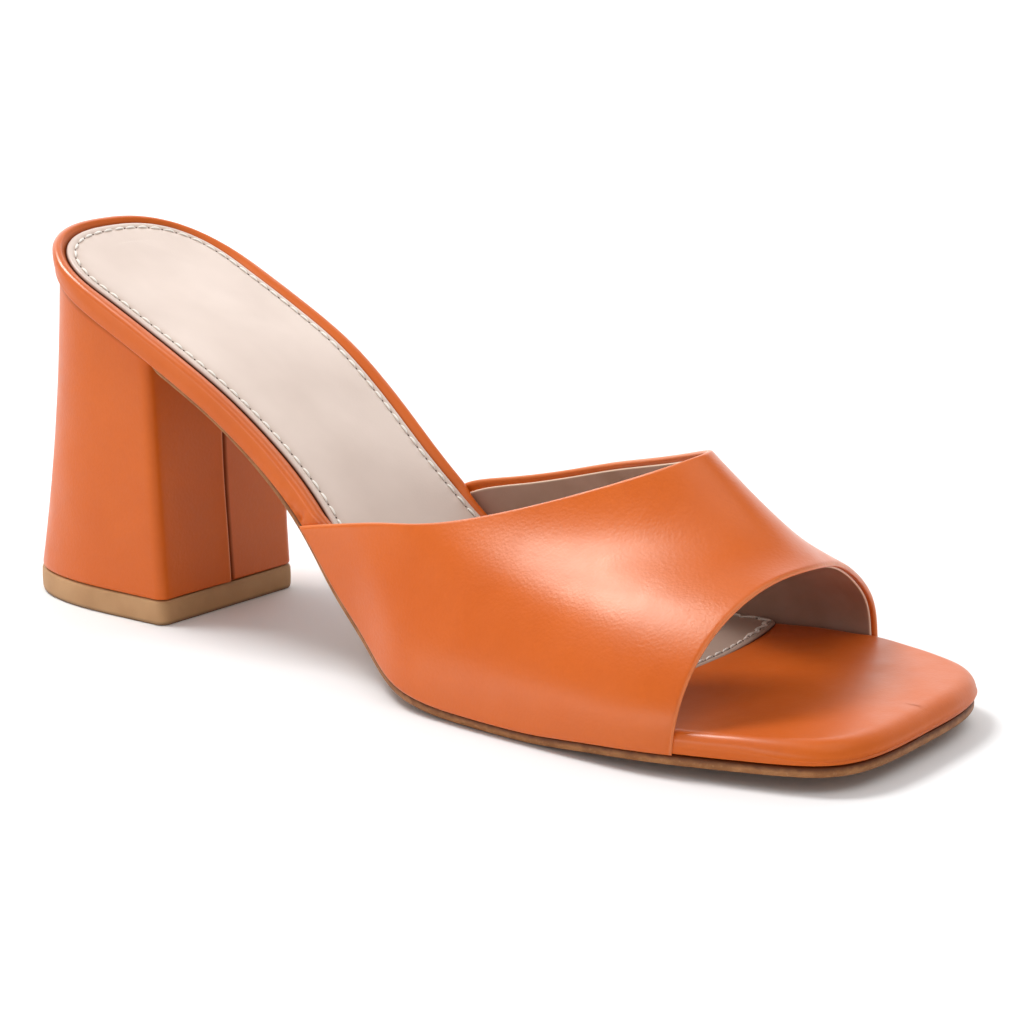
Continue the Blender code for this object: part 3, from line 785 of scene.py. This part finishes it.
def heel_rows(side):
    """Rings of one side of the heel from its foot to the board, edges rounded, walls hollowed."""
    foot, top = heel_plan(side)
    floor = LIFT_THICKNESS + 0.00022
    low = np.column_stack([foot, np.full(len(foot), floor)])
    high = stand(top[:, 0], top[:, 1], np.full(len(top), -0.00008))
    tall = np.linalg.norm(high - low, axis=-1)
    rows, shades = [], []
    ends = [0, 0.0006, 0.002, 0.005, 0.010], np.linspace(0.02, 0.98, 44), [0.990, 0.995, 0.999, 1]
    for t in np.concatenate(ends):
        ring = low + (high - low) * t
        ring[:, :2] -= ring[:, :2] * HEEL_HOLLOW * 4 * t * (1 - t)
        ends = 0.00055 * (1 - rounded(t * tall, 0.0007))
        ends = ends + 0.00045 * (1 - rounded((1 - t) * tall, 0.0007))
        reach = np.linalg.norm(ring[:, :2], axis=-1)[:, None]
        ring[:, :2] -= ring[:, :2] / np.maximum(reach, 1e-4) * ends[:, None]
        if side < 0:
            near = np.abs(foot[:, 1])
            lip = np.exp(-near / LIP_FADE) * ease(near / 0.00025)
            on_breast = ease((foot[:, 0] - HEEL_BREAST + 0.0002) / 0.0001)
            ring[:, 0] += WRAP_STEP * lip * on_breast * (0.85 + 0.15 * np.sin(9 * t))
        rows.append(ring)
        # Painted shade: the top millimetre and a half or so of the cover, tucked in under the board's
        # edge, is drawn near-black brown.
        shades.append(0.6 * (1 - ease(((1 - t) * tall - 0.0011) / 0.0006)))
    return rows, np.array(shades)


# Painted shade and highlight on the breast: the far end of the cover is drawn near-black brown for
# about 1.5 mm beside the seam, as the shadow of the proud near end, and the near end's raised edge
# carries a painted highlight, partly a pale cut edge.
heel_leather = orange_leather("heel_leather", 0.40, 1.1, 0.08, shaded="seam", lit="lip")
rights, right_shade = heel_rows(-1)
lefts, left_shade = heel_rows(1)
grid = closed_body(rights, lefts, 6)
plan, _ = heel_plan(1)
near = np.where(plan[:, 0] > HEEL_BREAST - 0.0001, np.abs(plan[:, 1]), 1.0)
left_shade = np.maximum(left_shade, 0.8 * (1 - ease((near - 0.0013) / 0.0006)))
lip = 0.6 * ease(near / 0.0002) * (1 - ease((near - 0.0003) / 0.0004))
lip = np.broadcast_to(lip, left_shade.shape)
tints = {"seam": loop_values(right_shade, left_shade, 0, 6), "lip": loop_values(lip, 0 * lip, 0, 6)}
add_piece("heel_cover", grid, grid_faces(*grid.shape[:2], wrap=True), heel_leather,
          ["heel"], tints)

# The top lift: a flat tan rubber plate nailed under the heel, cut flush with the cover, its
# lower edge a little worn.

# Inset from the cover's foot, height over the floor
LIFT_PROFILE = (
    (0.0006, 0.0), (0.00022, 0.00008), (0.00004, 0.00035), (-0.00015, 0.0010),
    (-0.00020, 0.0028), (-0.00015, 0.0048), (0.00003, 0.00528), (0.0003, LIFT_THICKNESS),
)

lift_rubber, tree, shader = new_material("lift_rubber", (0.46, 0.27, 0.14), 0.62)
shader.inputs["Specular IOR Level"].default_value = 0.25
grit = noise(tree, 2500.0, 3.0)
cloud = noise(tree, 90.0, 3.0)
patches = ranged(tree, cloud, 0.35, 0.65, 0.0, 1.0)
tone = tinted(tree, patches, (0.47, 0.27, 0.13), (0.40, 0.22, 0.10))
place = tree.nodes.new("ShaderNodeTexCoord")
parts = tree.nodes.new("ShaderNodeSeparateXYZ")
tree.links.new(place.outputs["Object"], parts.inputs["Vector"])
# Drawn darker towards the bottom, over the lowest millimetre.
darker_at_bottom = ranged(tree, parts.outputs["Z"], 0.0002, 0.0010, 0.7, 0.0)
tree.links.new(tinted(tree, darker_at_bottom, tone, (0.10, 0.055, 0.03)), shader.inputs["Base Color"])
tree.links.new(bumped(tree, grit, 0.00015, 0.3), shader.inputs["Normal"])

rights, lefts = [], []
for side, rows in ((-1, rights), (1, lefts)):
    foot, _ = heel_plan(side)
    reach = np.linalg.norm(foot, axis=-1)[:, None]
    for inset, height in LIFT_PROFILE:
        line = foot - foot / np.maximum(reach, 1e-4) * inset
        rows.append(np.column_stack([line, np.full(len(line), height)]))
grid = closed_body(rights, lefts, 6)
add_piece("top_lift_plate", grid, grid_faces(*grid.shape[:2], wrap=True), lift_rubber,
          ["top_lift"])

# The sock: a padded lining cut to the footbed, glued on it from the seat to the toe opening. Its
# edge is rolled, and a row of thread runs round in a shallow groove just inside it.

SOCK_FRONT = 0.1509
SOCK_BOW = 0.0073
SOCK_CORNER = 0.0052
STITCH_INSET = 0.0017
STITCH_PITCH = 0.0034
GROOVE_LEVEL = 0.87
PUCKER = 0.00005


def sock_side(side, count=640):
    """One side of the sock in plan: along the board's edge, round the corner, half of the front.

    Side and front are cut back from the point where they meet, and a parabola joins them there.
    """
    edge = sole_side(side, 900)
    edge = inset_side(edge, sock_margin(edge[:, 0], side), side)
    reach = side * edge[:, 1]
    bow = SOCK_FRONT - SOCK_BOW * (reach / reach.max()) ** 2
    corner_at = np.argmax((edge[:, 0] > bow) & (edge[:, 0] > 0.1))
    corner = edge[corner_at]
    body = edge[:corner_at][corner[0] - edge[:corner_at, 0] > SOCK_CORNER]
    part = np.linspace(1 - SOCK_CORNER / reach.max(), 0, 60)
    front = np.stack([SOCK_FRONT - SOCK_BOW * part**2, side * part * reach[corner_at]], axis=-1)
    t = np.linspace(0, 1, 24)[1:-1, None]
    turn = (1 - t) ** 2 * body[-1] + 2 * t * (1 - t) * corner + t**2 * front[0]
    return evenly(np.vstack([body, turn, front]), count)


def sock_base(x):
    """Underside of the sock over the underside of the board."""
    return board(x) - 0.0003 - (SOCK_RECESS + RIDGE_FALL) * recessed(x)


def sock_top(x):
    """Top of the sock's edge over the underside of the board."""
    return board(x) - 0.0002 + 0.0009 * (1 - recessed(x))


sock_leather, tree, shader = new_material("sock_lining", (0.70, 0.58, 0.50), 0.40, 0.15, 0.35)
cloud = noise(tree, 45.0, 3.0)
patches = ranged(tree, cloud, 0.35, 0.65, 0.0, 1.0)
tone = tinted(tree, patches, (0.69, 0.56, 0.485), (0.62, 0.495, 0.425))
# Painted shade: the sock is drawn a darker taupe in the groove round the stitches and over its front,
# in the shade of the band, and its outer wall near-black brown with little specular, as in the shade
# beside the rim.
tone = tinted(tree, mesh_value(tree, "painted_sock_shade"), tone, (0.36, 0.25, 0.19))
shade = mesh_value(tree, "edge")
tree.links.new(tinted(tree, shade, tone, (0.10, 0.026, 0.010)), shader.inputs["Base Color"])
tree.links.new(ranged(tree, shade, 0.0, 0.8, 0.5, 0.02), shader.inputs["Specular IOR Level"])
grain = bumped(tree, pebbles(tree, 1800.0), 0.00008, 0.15)
tree.links.new(bumped(tree, noise(tree, 3000.0, 2.0), 0.00006, 0.15, grain), shader.inputs["Normal"])

# Inset from the sock's edge, share of the edge's height, share of a stitch's pucker
SOCK_PROFILE = (
    (0.0005, 0.00, 0), (0.00030, 0.05, 0), (0.00012, 0.20, 0), (0.00002, 0.40, 0), (0.0, 0.58, 0),
    (0.00006, 0.76, 0), (0.00020, 0.90, 0), (0.00042, 0.98, 0), (0.0007, 1.00, 0), (0.0010, 0.98, 0.2),
    (0.0012, 0.95, 0.5), (0.0014, 0.90, 0.9), (STITCH_INSET, GROOVE_LEVEL, 1.0), (0.0020, 0.90, 0.9),
    (0.0023, 0.95, 0.5), (0.0029, 1.00, 0.2), (0.0040, 1.02, 0), (0.0060, 1.03, 0),
)


def run_along(line):
    """Distance of each point of a line from its start."""
    return np.concatenate([[0], np.cumsum(np.linalg.norm(np.diff(line, axis=0), axis=1))])


rights, lefts, seams, edges, painted_sock_shades = [], [], {}, [], []
for side, rows in ((-1, rights), (1, lefts)):
    edge = sock_side(side)
    seam = inset_side(edge, STITCH_INSET, side, int(STITCH_INSET / 0.0002))
    x = seam[:, 0]
    seam = stand(x, seam[:, 1], sock_base(x) + GROOVE_LEVEL * (sock_top(x) - sock_base(x)))
    seams[side] = seam
    pucker = PUCKER * np.cos(2 * np.pi * run_along(seam) / STITCH_PITCH)
    for inset, level, part in SOCK_PROFILE:
        line = inset_side(edge, inset, side, int(inset / 0.0002))
        x = line[:, 0]
        height = sock_base(x) + level * (sock_top(x) - sock_base(x)) - part * pucker
        rows.append(stand(x, line[:, 1], height))
        if side < 0:
            # Painted shade on the lower outer wall and in the groove round the stitches.
            edges.append(float(inset < 0.0007) * (1 - ease((level - 0.50) / 0.34)) + 0 * x)
            painted_sock_shades.append(0.30 * part + 0 * x)
# Painted shade where the band hangs over the front of the sock.
front_shade = 0.75 * between(x, 0.64, 0.73)
painted_sock_shades = np.maximum(painted_sock_shades, front_shade)
grid = closed_body(rights, lefts, 26, 0.00015)
tints = {"edge": loop_values(edges, edges, 0, 26),
         "painted_sock_shade": loop_values(painted_sock_shades, painted_sock_shades, front_shade, 26)}
sock = add_piece("sock_pad", grid, grid_faces(*grid.shape[:2], wrap=True), sock_leather,
                 ["sock"], tints)

# The sock's seam: a cream thread in short stitches along the groove, each end drawn down into
# its needle hole. The thread is tied off untidily at the left front corner.

STITCH_LENGTH = 0.0024
THREAD_WIDTH = 0.00058
THREAD_RISE = 0.00026
HOLE_WIDTH = 0.00030
HOLE_RISE = 0.00002
KNOT_SPREAD = 0.0011
KNOT_TURNS = 12


def beads(starts, stops, lifts, width, rise, sides=8, rings=9):
    """Joined small capsules from start to stop points, bowed up along their lifts."""
    starts, stops, lifts = np.array(starts), np.array(stops), np.array(lifts)
    way = stops - starts
    across = np.cross(lifts, way)
    across /= np.linalg.norm(across, axis=-1)[:, None]
    t = np.linspace(0, np.pi, rings)
    turn = np.linspace(0, 2 * np.pi, sides, endpoint=False)
    centre = starts[:, None] + way[:, None] * (0.5 - 0.5 * np.cos(t))[None, :, None]
    centre = centre + lifts[:, None] * (rise * np.sin(t))[None, :, None]
    size = width / 2 * np.maximum(np.sin(t), 0.02) ** 0.6
    wide = (size[:, None] * np.cos(turn))[None, ..., None]
    tall = (0.8 * size[:, None] * np.sin(turn))[None, ..., None]
    points = centre[:, :, None] + across[:, None, None] * wide + lifts[:, None, None] * tall
    count = len(starts)
    one = grid_faces(rings, sides, wrap=True)
    caps = [tuple(range(sides)), tuple(range((rings - 1) * sides, rings * sides))]
    faces = [tuple(face + k * rings * sides) for k in range(count) for face in one]
    faces += [tuple(np.array(cap) + k * rings * sides) for k in range(count) for cap in caps]
    return points.reshape(-1, 3), faces


def sole_normal(points):
    """Unit normals of the board under the points."""
    reach = 0.0006
    slope = (underside(points[:, 0] + reach) - underside(points[:, 0] - reach)) / (2 * reach)
    normal = np.stack([-slope, 0 * slope, 1 + 0 * slope], axis=-1)
    return normal / np.linalg.norm(normal, axis=-1)[:, None]


starts, stops, holes = [], [], []
for side, seam in seams.items():
    length = run_along(seam)
    middles = np.arange(0.5 * STITCH_PITCH, length[-1], STITCH_PITCH)
    half = 0.5 * STITCH_LENGTH
    for bag, offset in ((starts, -half), (stops, half), (holes, 0.5 * STITCH_PITCH)):
        columns = [np.interp(middles + offset, length, column) for column in seam.T]
        bag.append(np.stack(columns, axis=-1))
starts, stops, holes = np.vstack(starts), np.vstack(stops), np.vstack(holes)
way = 0.00020 * (stops - starts) / STITCH_LENGTH
corner = seams[1][(seams[1][:, 0] > 0.128) & (seams[1][:, 1] > 0.026)]
knots = corner[np.linspace(0, len(corner) - 1, KNOT_TURNS).astype(int)]
zigzag = (-1.0) ** np.arange(KNOT_TURNS)[:, None] * np.array([0.5, 0.8, 0.0])
knots = knots + KNOT_SPREAD * zigzag
thread, tree, shader = new_material("sock_thread", (0.86, 0.81, 0.74), 0.60)
starts, stops = np.vstack([starts, knots[:-1]]), np.vstack([stops, knots[1:]])
points, faces = beads(starts, stops, sole_normal(starts), THREAD_WIDTH, THREAD_RISE)
add_piece("sock_stitches", points, faces, thread)
# Painted shade: the needle holes are near-black beads laid in the groove between the stitches.
dark, tree, shader = new_material("needle_hole_shade", (0.06, 0.035, 0.022), 0.9)
points, faces = beads(holes - way, holes + way, sole_normal(holes), HOLE_WIDTH, HOLE_RISE)
add_piece("needle_hole_shades", points, faces, dark)

# The floor is a plain white sweep that rises behind the shoe and glows away from it. A key box
# hangs above the near side, weaker ones behind and over the toe, and a long low strip is in front.

VIEW_AZIMUTH = np.radians(37.37)
VIEW_ELEVATION = np.radians(13.6)
SWEEP_START = 1.0
SWEEP_RADIUS = 0.5
SWEEP_TOP = 1.6
SWEEP_GLOW = 0.75
SEAT_PLACE = (0.10, 0.0, 0.03)
TOE_PLACE = (0.12, 0.0, 0.03)
BAND_PLACE = (0.09, 0.0, 0.03)

bend = np.linspace(0, np.pi / 2, 24)
curve = SWEEP_START + SWEEP_RADIUS * np.sin(bend)
away = np.concatenate([[-3.0, 0.0], curve, [SWEEP_START + SWEEP_RADIUS]])
level = np.concatenate([[0.0, 0.0], SWEEP_RADIUS * (1 - np.cos(bend)), [SWEEP_TOP]])
sideways = np.array([-2.6, 2.6])[:, None]
forward = np.array([-np.sin(VIEW_AZIMUTH), np.cos(VIEW_AZIMUTH)])
across = away * forward[0] + sideways * forward[1]
deep = away * forward[1] - sideways * forward[0]
points = np.stack([across, deep, level + 0 * sideways], axis=-1)
floor_white, tree, shader = new_material("floor_white", (0.88, 0.88, 0.88), 0.85)
place = tree.nodes.new("ShaderNodeTexCoord")
reach = tree.nodes.new("ShaderNodeVectorMath")
reach.operation = "LENGTH"
tree.links.new(place.outputs["Object"], reach.inputs[0])
glow = ranged(tree, reach.outputs["Value"], 0.40, 1.0, 0.0, SWEEP_GLOW)
tree.links.new(glow, shader.inputs["Emission Strength"])
shader.inputs["Emission Color"].default_value = (1.0, 1.0, 1.0, 1.0)
mesh = bpy.data.meshes.new("floor_sweep")
mesh.from_pydata(points.reshape(-1, 3), [], grid_faces(*points.shape[:2], wrap=False)[:, ::-1])
mesh.shade_smooth()
mesh.materials.append(floor_white)
floor = bpy.data.objects.new("floor_sweep", mesh)
bpy.context.scene.collection.objects.link(floor)


def soft_box(name, place, aim, size, power):
    """White area light at a place, turned towards a point."""
    light = bpy.data.lights.new(name, "AREA")
    light.shape = "RECTANGLE"
    light.size, light.size_y = size
    light.energy = power
    box = bpy.data.objects.new(name, light)
    box.location = place
    way = Vector(aim) - Vector(place)
    box.rotation_euler = way.to_track_quat("-Z", "Y").to_euler()
    bpy.context.scene.collection.objects.link(box)


soft_box("box_above", (-0.37, -0.11, 0.92), SEAT_PLACE, (0.34, 0.34), 7.0)
soft_box("box_behind", (-0.25, 0.95, 0.85), SEAT_PLACE, (1.0, 0.6), 1.4)
soft_box("box_toe", (0.55, -0.05, 0.85), TOE_PLACE, (0.7, 0.7), 2.3)
soft_box("strip_near", (-0.15, -1.30, 0.12), BAND_PLACE, (2.4, 0.22), 5.6)
world = bpy.data.worlds.new("studio")
bpy.context.scene.world = world
world.use_nodes = True
sky = world.node_tree.nodes["Background"]
sky.inputs["Color"].default_value = (1.0, 1.0, 1.0, 1.0)
sky.inputs["Strength"].default_value = 0.46

# The camera stands low in front of the shoe's right side, as in the photograph, and looks back at
# its middle through a long lens.

VIEW_DISTANCE = 0.600
VIEW_TARGET = np.array([0.1041, 0.0, 0.0333])
VIEW_LENS = 103.0

back = np.array([np.sin(VIEW_AZIMUTH) * np.cos(VIEW_ELEVATION),
                 -np.cos(VIEW_AZIMUTH) * np.cos(VIEW_ELEVATION), np.sin(VIEW_ELEVATION)])
lens = bpy.data.cameras.new("camera")
lens.lens = VIEW_LENS
lens.sensor_width = 36.0
lens.clip_start = 0.01
camera = bpy.data.objects.new("camera", lens)
camera.location = VIEW_TARGET + VIEW_DISTANCE * back
camera.rotation_euler = Vector(-back).to_track_quat("-Z", "Y").to_euler()
bpy.context.scene.collection.objects.link(camera)
bpy.context.scene.camera = camera
bpy.context.scene.view_settings.view_transform = "Standard"
